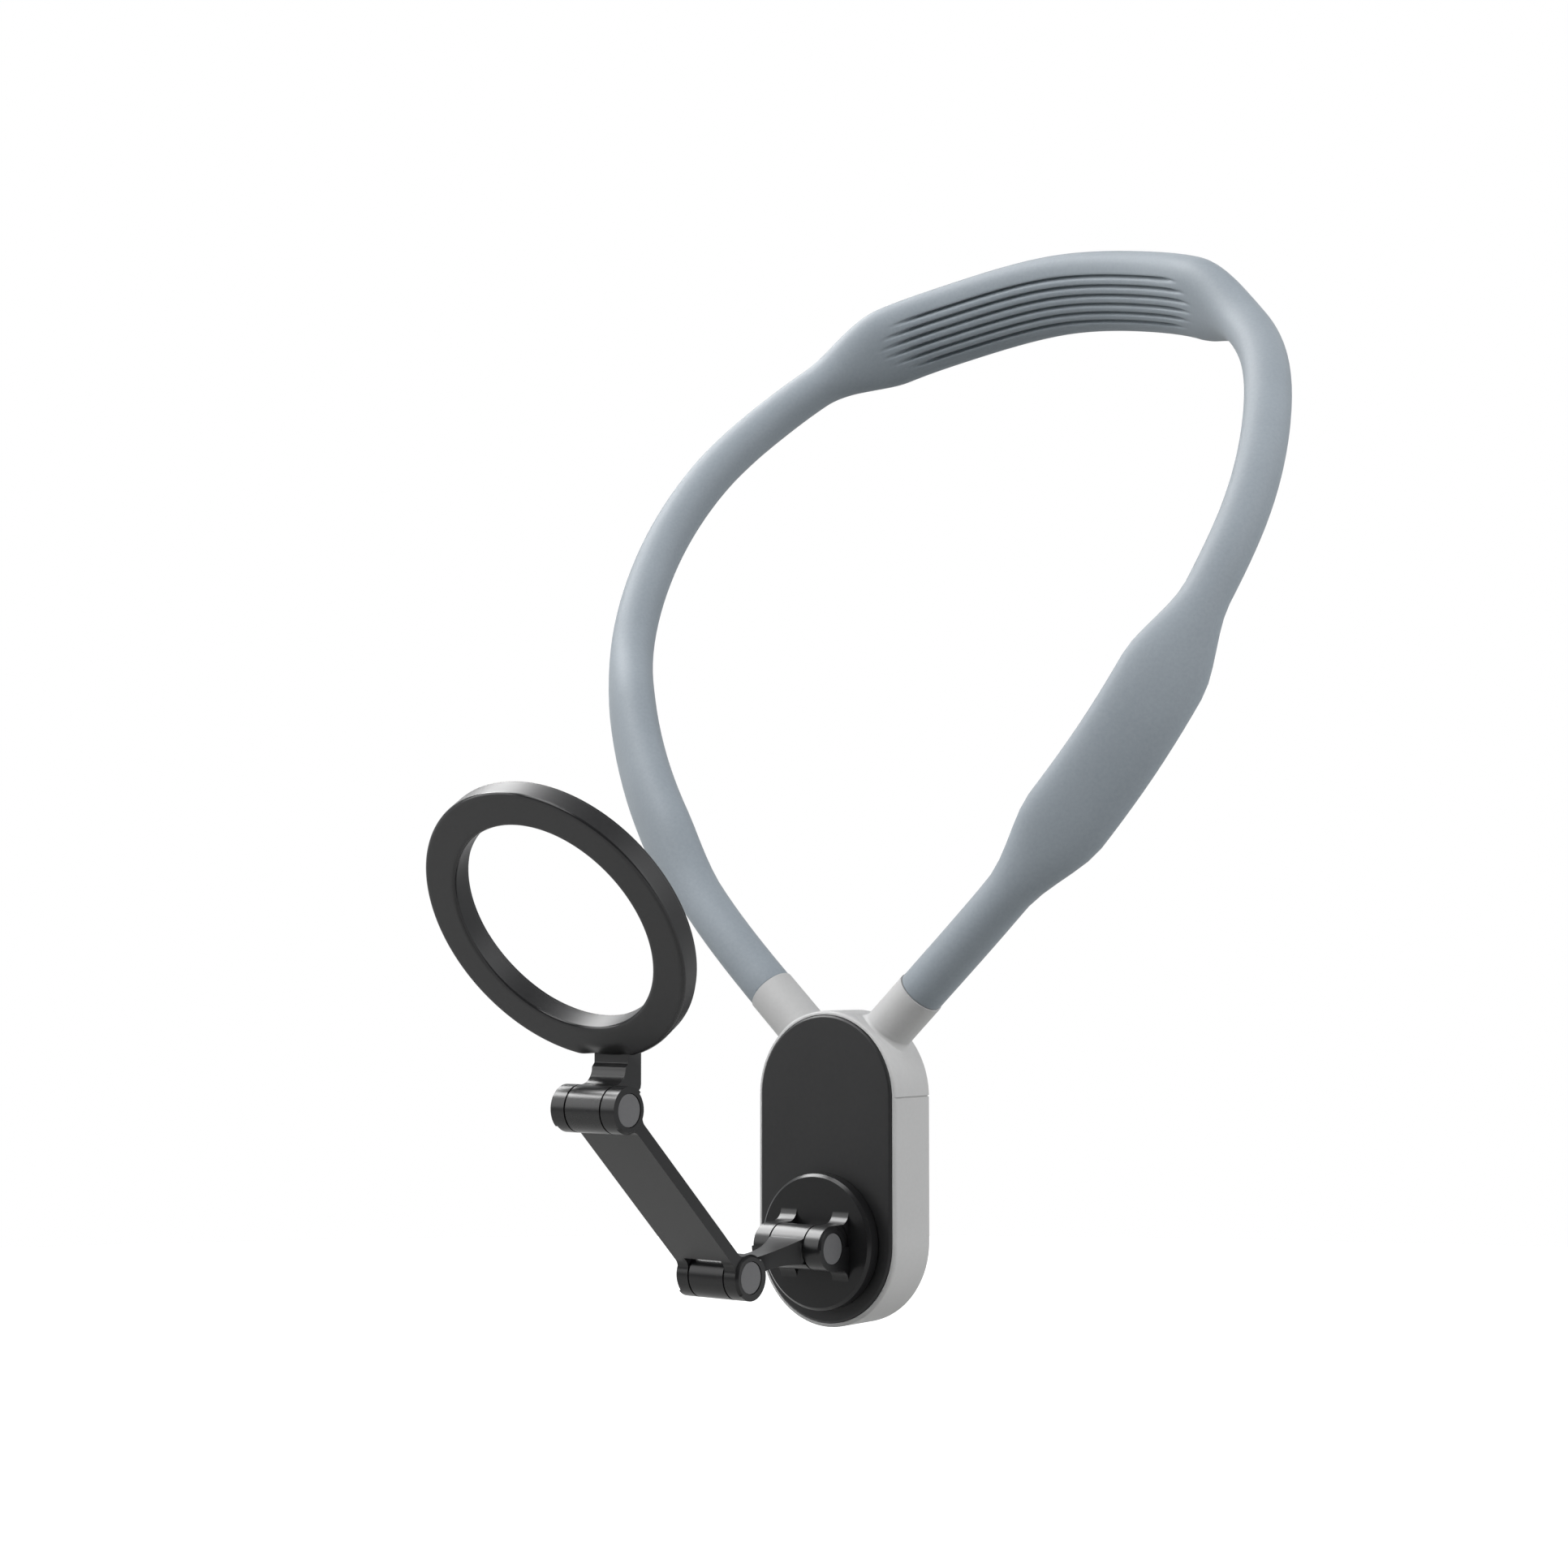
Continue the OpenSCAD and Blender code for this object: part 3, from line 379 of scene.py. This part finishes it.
# how far along the sleeve each small step of the route lies, in mm
fine_parts = 200
fine_places = [on_route(k / fine_parts)[0] for k in range(spans * fine_parts + 1)]
run_lengths = [0]
for before, after in zip(fine_places, fine_places[1:]):
    run_lengths.append(run_lengths[-1] + (after - before).length)
loop_length = run_lengths[-1]

# the grooves' form is given as points across each: mm from its middle, share of its depth
groove_gap, groove_depth, groove_half = 2.2, 1.5, 0.72
groove_form = [(groove_half * x, depth) for x, depth in (
    (-1, 0), (-0.72, 0.06), (-0.5, 0.36), (-0.27, 0.86), (0, 1),
    (0.27, 0.86), (0.5, 0.36), (0.72, 0.06), (1, 0))]
middle_groove = 2.5
groove_places = [(k - middle_groove) * groove_gap for k in range(6)]
# the outer grooves end a little before the inner ones
groove_reach, groove_bow, groove_fade = 47.5, 0.8, 10

# where the section's points lie: closely across the grooved face, evenly over the other
across = [g + x for g in groove_places for x, _ in groove_form]
across += [g + groove_gap / 2 for g in groove_places[:-1]]
across += [side * x for side in (-1, 1) for x in (6.5, 7.3, 8.1, 8.8, 9.3)]
angles = []
for x in across:
    share = min(1, abs(x) / (neck_pad_w / 2)) ** (1 / pad_flatness)
    angles.append(2 * math.pi - math.acos(share) if x > 0 else math.pi + math.acos(share))
outer_steps = 28
angles += [k * math.pi / outer_steps for k in range(outer_steps + 1)]
angles = sorted(a % (2 * math.pi) for a in angles)


def groove_at(x, from_middle):
    """How deep the neck pad's face is cut at x mm from its middle line."""
    for k, g in enumerate(groove_places):
        if abs(x - g) <= groove_half:
            end = groove_reach - groove_bow * (k - middle_groove) ** 2
            form = 0
            for (xa, fa), (xb, fb) in zip(groove_form, groove_form[1:]):
                if xa <= x - g <= xb:
                    form = fa + (fb - fa) * (x - g - xa) / (xb - xa)
            return groove_depth * form * eased((end - abs(from_middle)) / groove_fade)
    return 0


def sleeve_ring(u, s, shrink):
    """The sleeve's outline at one place, s mm of silicone from the first socket."""
    place, run = on_route(u)
    near = min(s, loop_length - s)
    past_chest = near - chest_from - chest_len
    chest = eased((near - chest_from) / chest_taper) * eased(-past_chest / chest_taper)
    neck = eased((neck_len / 2 - loop_length / 2 + near) / neck_taper)
    wide, thick = [
        sleeve_r + chest * (chest_size / 2 - sleeve_r) + neck * (neck_size / 2 - sleeve_r) - shrink
        for chest_size, neck_size in ((chest_pad_w, neck_pad_w), (chest_pad_t, neck_pad_t))]
    pads_gap = loop_length / 2 - neck_len / 2 - chest_from - chest_len
    turn = math.radians(chest_turn + (neck_turn - chest_turn) * eased(past_chest / pads_gap))
    up_side = (loop_plane - loop_plane.dot(run) * run).normalized()
    out = math.cos(turn) * run.cross(up_side) + math.sin(turn) * up_side
    side = out.cross(run)
    power = 1 + (pad_flatness - 1) * max(chest, neck)
    ring = []
    for angle in angles:
        c, d = math.cos(angle), math.sin(angle)
        x = math.copysign(abs(c) ** power, c) * wide
        y = math.copysign(abs(d) ** power, d) * thick
        if d < 0 and neck > 0.5:
            y += groove_at(x, s - loop_length / 2)
        ring.append(place + x * side + y * out)
    return ring


# Each span between the route's points has this many rings; those of the neck pad have more.
side_spans, side_parts, neck_parts = 5, 9, 22
stations = [0.0]
for i in range(spans):
    parts = neck_parts if side_spans <= i < spans - side_spans else side_parts
    stations += [i + (k + 1) / parts for k in range(parts)]
# Each end goes from the core outwards and round the lip: how far inside the sleeve's
# outline, and how far up the sleeve.
end_steps = [(sleeve_r - bore_r, 0)] + [
    (sleeve_lip * (1 - math.sin(a)), sleeve_lip * (1 - math.cos(a)))
    for a in (0, 0.4, 0.8, 1.2, math.pi / 2)]
sleeve_rings = []
for u in stations:
    s = run_lengths[round(u * fine_parts)]
    if 0 < u < spans:
        sleeve_rings.append(sleeve_ring(u, s, 0))
        continue
    inward = socket_way if u == 0 else Vector((-socket_way.x, 0, socket_way.z))
    rows = [[p + inward * deep for p in sleeve_ring(u, s, shrink)] for shrink, deep in end_steps]
    sleeve_rings += rows if u == 0 else rows[::-1]
sleeve_shape = rolled([[at(*p) for p in ring] for ring in sleeve_rings])
# soft-touch silicone: mirrors nothing; an even blue-grey that pales softly at its edges
soft_silicone = finish(
    "soft_touch_silicone", ("#838b92", "#8f979e"), (0.6, 0.72), 0.7, 0.005, specular=0.25,
    extra={"Sheen Weight": 0.12, "Sheen Roughness": 0.4})
add(sleeve_shape, "silicone_sleeve", "neck_yoke", soft_silicone, ["sleeve"], 60)


# ---------------------------------------------------------------- pod
# Two light grey housings of satin ABS with a black front plate. Inside, an anchor block
# grips the plugs, and a stiff plate carries the turntable.
# satin grey ABS: a neutral pale grey with broad soft highlights on its rounded edges
satin_abs = finish(
    "satin_grey_abs", ("#afafaf", "#b6b6b6"), (0.48, 0.6), 0.8, 0.006, specular=0.3)
# satin black ABS: an even near-black face with a weak grey veil and no clear reflection
black_cover = finish(
    "satin_black_abs", ("#1b1b1c", "#212122"), (0.4, 0.5), 0.8, 0.005, specular=0.26)
# machined aluminium: mid grey metal with fine cutter marks, hidden inside the pod
machined_block = finish(
    "machined_aluminium_block", ("#7a7d80", "#8c8f92"), (0.35, 0.48), 0.6, 0.008, metallic=1.0)
# zinc-plated steel: cool grey metal, bright on the rims of the cross slots
plated_screws = finish(
    "zinc_plated_screw_steel", ("#6a6c6e", "#828486"), (0.3, 0.42), 0.5, 0.005, metallic=1.0)
add_rounded("upper_shell", 0.12, "neck_yoke", satin_abs)
add_rounded("lower_shell", 0.12, "neck_yoke", satin_abs)
add_rounded("front_plate", 0.15, "neck_yoke", black_cover)
dress(machined_block, "chassis", "anchor_block")
dress(plated_screws, "anchor_screws", "shell_screws")

# Each socket grows out of the housing with a smooth moulded fillet, which is larger to the
# housing's sides than to its front and back.
socket_r, side_fillet, end_fillet = 5.1, 1.5, 0.75
shell_front, shell_back, front_round, back_round = 0.5, 13.6, 0.7, 2.0
across_way = Vector((-socket_way.z, 0, socket_way.x))
fillet_sides = 96
# steps from the socket's wall, over the fillet, to the housing: the bend in quarter turns,
# how far past the fillet, and how far in front of the surface, so that both rims fade out
fillet_steps = [(0, -1.6, -0.05), (0, -0.8, 0.015), (0, -0.3, 0.02)]
fillet_steps += [(k / 10, 0, 0.02) for k in range(11)]
fillet_steps += [(1, 0.25, 0.02), (1, 0.6, 0.01), (1, 1, -0.06)]


def housing_reach(y):
    """The housing's radius at one depth, with its round front and back edges."""
    y = min(max(y, shell_front + 0.05), shell_back - 0.05)
    for size, inside in (
            (front_round, shell_front + front_round - y),
            (back_round, y - shell_back + back_round)):
        if inside > 0:
            return pod_r - size + math.sqrt(size ** 2 - inside ** 2)
    return pod_r


def on_fillet(turn, bend, past, proud):
    """A point of the left socket's fillet, in mm; turn goes round the socket."""
    to_side = math.cos(turn) ** 2
    fillet = end_fillet + (side_fillet - end_fillet) * to_side
    angle = math.pi / 2 * bend
    reach = socket_r + fillet * (1 - math.cos(angle)) + max(past, 0) * (0.15 + 1.1 * to_side)
    lift = fillet * (1 - math.sin(angle)) + max(-past, 0)
    if bend == 0:
        reach += proud
    else:
        lift += proud * math.sin(angle)
    base = socket_end + across_way * math.cos(turn) * reach
    base.y += math.sin(turn) * reach
    # back along the socket until the round end of the housing is met
    housing = housing_reach(base.y)
    rx, rz = base.x, base.z - pod_rise
    b = rx * socket_way.x + rz * socket_way.z
    along = -b + math.sqrt(max(0, b * b - rx * rx - rz * rz + housing * housing))
    return base + socket_way * (along + lift)


# both rims are closed by a smaller ring inside the socket
closing_point = socket_end - 9 * socket_way
for mirror, hand in ((1, "left"), (-1, "right")):
    rings = []
    for step in fillet_steps:
        points = [on_fillet(2 * math.pi * k / fillet_sides, *step) for k in range(fillet_sides)]
        rings.append([at(mirror * p.x, p.y, p.z) for p in points])
    inner = at(mirror * closing_point.x, closing_point.y, closing_point.z)
    first, last = [
        [inner + (p - inner) * share for p in ring]
        for ring, share in ((rings[0], 0.8), (rings[-1], 0.6))]
    fillet_shape = rolled([first] + rings + [last])
    add(fillet_shape, "socket_fillet_" + hand, "neck_yoke", satin_abs, (), 50)


# ---------------------------------------------------------------- turntable
# A black anodised disc with the two ears of the base hinge. Its hub passes through the
# housing and is held there by a spring washer, a plate and a screw.
# natural acetal: waxy off-white, seen only as a thin line behind the disc
slide_plastic = finish("natural_acetal", ("#dedbd4", "#e8e6e0"), (0.35, 0.45), 0.8, 0.004)
# black anodised aluminium: deep black flats; its barrels carry one clear long highlight
black_anodised = finish(
    "black_anodised_aluminium", ("#141415", "#1a1a1b"), (0.28, 0.3), 0.6, 0.0001, specular=0.27)
dress(slide_plastic, "glide_ring")
add_rounded("turntable", 0.22, "turntable", black_anodised)
dress(turned_steel, "spring_washer", "hub_plate", "hub_screw")


# ---------------------------------------------------------------- hinges
# Each hinge turns on a steel pin with a thin black washer on either side of its knuckle.
# A dark grey disc closes each end of the barrel.
# satin grey paint: flat dark grey discs that stand out from the black barrels
cap_grey = finish(
    "satin_grey_cap", ("#58585a", "#616162"), (0.38, 0.5), 0.6, 0.002, specular=0.35)
# black acetal: the thin black lines that part ear and knuckle
washer_black = finish("black_acetal_washer", ("#0c0c0d", "#131314"), (0.4, 0.5), 0.5, 0.004)
dress(turned_steel, "base_pin", "middle_pin", "ring_pin")
add_rounded("base_caps", 0.16, "turntable", cap_grey)
add_rounded("middle_caps", 0.16, "long_bar", cap_grey)
add_rounded("ring_caps", 0.16, "long_bar", cap_grey)
dress(washer_black, "base_washers", "middle_washers", "ring_washers")


# ---------------------------------------------------------------- arm
# A short waisted link and a long flat bar, both black anodised aluminium.
add_rounded("short_link", 0.25, "short_link", black_anodised)
add_rounded("long_bar", 0.28, "long_bar", black_anodised)


# ---------------------------------------------------------------- magnetic ring
# A black ring housing holds a steel ring and a circle of magnets, closed by a thin cover
# and faced with a soft pad that the phone lies on.
# satin black moulding: a dark grey face, with thin bright lines along its round edges
satin_black = finish(
    "satin_black_ring", ("#1f1f20", "#262627"), (0.45, 0.49), 0.7, 0.0001, specular=0.3)
# nickel plate: smooth pale metal, hidden in the channel
nickel = finish(
    "nickel_plated_magnet", ("#a8a9aa", "#bdbebf"), (0.18, 0.28), 0.5, 0.003, metallic=1.0)
# soft black elastomer: matt black that swallows highlights
soft_pad = finish("black_soft_pad", ("#141415", "#1b1b1c"), (0.7, 0.82), 0.6, 0.01, specular=0.3)
dress(turned_steel, "yoke_ring")
dress(nickel, "magnets")
ring_low, ring_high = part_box("ring_pin")
ring_axis = (Vector(ring_low) + Vector(ring_high)) / 2
lean = math.radians(32.7)
# From the hinge's axis, the ring's centre lies ring_drop up along the ring, and the face
# away from the phone lies ring_setback through it.
ring_r, window_r, ring_drop, ring_setback, ring_body_t = 28.8, 21.8, 35.1, 7.2, 4.2
ring_wall, ring_front_t, ring_round, rear_round = 1.3, 1.3, 0.7, 0.25
neck_half_w = 4.2
# that face sinks by scoop_depth where it meets the neck
scoop_depth, scoop_reach, scoop_half_w, scoop_fade = 1.05, 3.4, neck_half_w + 2.6, 3.4

# The knuckle and the neck are polished, and painted shade darkens their colour. The ring's round
# edges are polished too, where the surface turns from the face to the wall.
hinge_zone_from, hinge_zone_to, polish_and_shade = 10.5, 12.5, 0.6
edge_turn, edge_from, edge_to, edge_polish = 0.6, 0.2, 0.36, 0.3
tree = satin_black.node_tree
shell = next(n for n in tree.nodes if n.type == "BSDF_PRINCIPLED")
tone = shell.inputs["Base Color"].links[0].from_socket
satin = shell.inputs["Roughness"].links[0].from_socket
place = node(tree, "ShaderNodeTexCoord").outputs
apart = vector_calc(tree, "SUBTRACT", place["Object"], ring_axis)
span = vector_calc(tree, "LENGTH", vector_calc(tree, "MULTIPLY", apart, (0.6, 1, 1)))
hinge_share = ranged(tree, span, hinge_zone_from * MM, hinge_zone_to * MM, polish_and_shade, 1.0)
through = (0, math.cos(lean), math.sin(lean))
facing = vector_calc(tree, "DOT_PRODUCT", place["Normal"], through)
off_edge = calc(tree, "ABSOLUTE", calc(tree, "ADD", facing, edge_turn))
edge_share = ranged(tree, off_edge, edge_from, edge_to, edge_polish, 1.0)
at_hinge = calc(tree, "LESS_THAN", span, hinge_zone_to * MM)
edge_share = calc(tree, "MAXIMUM", edge_share, at_hinge)
shine = calc(tree, "MULTIPLY", satin, calc(tree, "MULTIPLY", hinge_share, edge_share))
tree.links.new(shine, shell.inputs["Roughness"])
# painted shade: near the hinge the base colour is scaled down by the same share that polishes it
painted_hinge_shade = node(tree, "ShaderNodeVectorMath", {0: tone, "Scale": hinge_share}, operation="SCALE")
tree.links.new(painted_hinge_shade.outputs[0], shell.inputs["Base Color"])


def up_the_ring(along, up):
    """Depth and height from the hinge's axis of a point through the ring and up along it."""
    c, d = math.cos(lean), math.sin(lean)
    return along * c - up * d, along * d + up * c


def on_side(x, y, z):
    """A point in mm from the middle of the ring hinge's axis."""
    return ring_axis + Vector((x, y, z)) * MM


def revolved(profile, sides, scoop=0.0):
    """A closed profile of (radius, depth) in mm, spun round the ring's centre."""
    shape = bmesh.new()
    section = [shape.verts.new((r, 0, deep)) for r, deep in profile]
    for before, after in zip(section, section[1:] + section[:1]):
        shape.edges.new((before, after))
    bmesh.ops.spin(
        shape, geom=shape.verts[:] + shape.edges[:], cent=(0, 0, 0), axis=(0, 0, 1),
        dvec=(0, 0, 0), angle=2 * math.pi, steps=sides, use_merge=True)
    for v in shape.verts:
        x, up, deep = v.co
        if up < 0:
            near = eased((scoop_half_w - abs(x)) / scoop_fade)
            near *= eased((math.hypot(x, up) - ring_r + scoop_reach) / scoop_reach)
            deep += scoop * near * max(0, 1 - deep / ring_body_t)
        v.co = on_side(x, *up_the_ring(ring_setback + deep, ring_drop + up))
    bmesh.ops.recalc_face_normals(shape, faces=shape.faces)
    return shape


def corner(r, deep, size, start):
    """A quarter round of the given size, from an angle in quarter turns."""
    turns = [math.pi / 2 * (start + k / 5) for k in range(6)]
    return [(r + size * math.cos(t), deep + size * math.sin(t)) for t in turns]


def between(start, end, steps):
    """The numbers that part a length into equal steps, without its two ends."""
    return [start + (end - start) * k / steps for k in range(1, steps)]


channel_in_r, channel_out_r = window_r + ring_wall, ring_r - ring_wall
ring_profile = corner(window_r + ring_round, ring_round, ring_round, 2)
ring_profile += [(r, 0) for r in between(window_r + ring_round, ring_r - ring_round, 12)]
ring_profile += corner(ring_r - ring_round, ring_round, ring_round, 3)
ring_profile += [(ring_r, ring_body_t * share) for share in (0.4, 0.7)]
ring_profile += corner(ring_r - rear_round, ring_body_t - rear_round, rear_round, 0)
ring_profile += [
    (channel_out_r, ring_body_t), (channel_out_r, ring_front_t),
    (channel_in_r, ring_front_t), (channel_in_r, ring_body_t)]
ring_profile += corner(window_r + rear_round, ring_body_t - rear_round, rear_round, 1)
ring_shape = revolved(ring_profile, 288, scoop_depth)

# The knuckle and the neck, drawn from the side: the knuckle's outline round its bore, and
# the neck from the arc that it shares with the knuckle. Points are (depth, height).
barrel_r, bore, hollow, shoulder, neck_front, neck_back = 4.5, 2.05, 3.1, 0.7, 3.0, 7.4
neck_from, neck_to = math.atan2(0.42, 1.02), math.pi / 2 + math.asin(0.1 / barrel_r)
shared_steps, far_steps, hollow_steps = 14, 50, 12


def ringed(r, turn):
    """A point of a circle round the hinge's axis."""
    return r * math.cos(turn), r * math.sin(turn)


shared_turns = [neck_from] + between(neck_from, neck_to, shared_steps) + [neck_to]
knuckle_turns = shared_turns + between(neck_to, 2 * math.pi + neck_from, far_steps)
low = ring_drop - ring_r + ring_wall / 2
upper_front = neck_front + shoulder
hollow_top = barrel_r + hollow
top_back = up_the_ring(ring_setback + ring_body_t - 0.1, low)
# up the back, over the top inside the ring's wall, then down the front, over its bevelled
# shoulder, and through the hollow to the knuckle
neck_outline = [
    (barrel_r * 1.12, barrel_r * 0.62), (neck_back - 0.7, barrel_r * 0.72),
    (neck_back - 0.15, barrel_r * 0.83), (neck_back, barrel_r),
    (neck_back, top_back[1] - ring_wall), top_back,
    (upper_front, (low + upper_front * math.sin(lean)) / math.cos(lean)),
    (upper_front, hollow_top + shoulder + 0.25), (upper_front - 0.06, hollow_top + shoulder + 0.1),
    (neck_front + 0.06, hollow_top + 0.15)]
for k in range(hollow_steps, 0, -1):
    y, z = ringed(hollow, math.pi / 2 * (k / hollow_steps - 1))
    neck_outline.append((neck_front - hollow + y, hollow_top + z))
neck_shape = bmesh.new()
outer_verts, bore_verts, neck_verts = [
    [neck_shape.verts.new(on_side(-neck_half_w, *p)) for p in points]
    for points in (
        [ringed(barrel_r, turn) for turn in knuckle_turns],
        [ringed(bore, turn) for turn in knuckle_turns],
        neck_outline)]
for i in range(len(knuckle_turns)):
    j = (i + 1) % len(knuckle_turns)
    neck_shape.faces.new((outer_verts[i], outer_verts[j], bore_verts[j], bore_verts[i]))
neck_shape.faces.new(outer_verts[shared_steps::-1] + neck_verts)
swept = bmesh.ops.extrude_face_region(neck_shape, geom=neck_shape.faces[:])
moved = [v for v in swept["geom"] if isinstance(v, bmesh.types.BMVert)]
bmesh.ops.translate(neck_shape, verts=moved, vec=(2 * neck_half_w * MM, 0, 0))
bmesh.ops.recalc_face_normals(neck_shape, faces=neck_shape.faces)
# the neck's side edges are rounded; the knuckle's, nearer to the axis, stay sharp
knuckle_reach = 4.9
side_edges = [
    e for e in bent_edges(neck_shape, 60)
    if abs(e.verts[0].co.x - e.verts[1].co.x) < 1e-6
    and (e.verts[0].co - ring_axis).length > knuckle_reach * MM]
round_edges(neck_shape, side_edges, 0.3)
neck_data = bpy.data.meshes.new("neck_form")
neck_shape.to_mesh(neck_data)
neck_shape.free()
ring_shape.from_mesh(neck_data)
bpy.data.meshes.remove(neck_data)
keep_flat(add(ring_shape, "ring_housing", "ring", satin_black, ["ring_body"]))
add_rounded("ring_cover", 0.12, "ring", satin_black)

# The soft pad lies on the cover, with a rounded edge.
cover_t, pad_t, pad_round = 0.7, 0.9, 0.4
pad_start = ring_body_t + cover_t
pad_top = pad_start + pad_t
pad_profile = [(channel_in_r, pad_start), (channel_out_r, pad_start)]
pad_profile += corner(channel_out_r - pad_round, pad_top - pad_round, pad_round, 0)
pad_profile += [
    (r, pad_top) for r in between(channel_out_r - pad_round, channel_in_r + pad_round, 8)]
pad_profile += corner(channel_in_r + pad_round, pad_top - pad_round, pad_round, 1)
pad_shape = revolved(pad_profile, 256)
add(pad_shape, "soft_face_pad", "ring", soft_pad, ["contact_pad"])
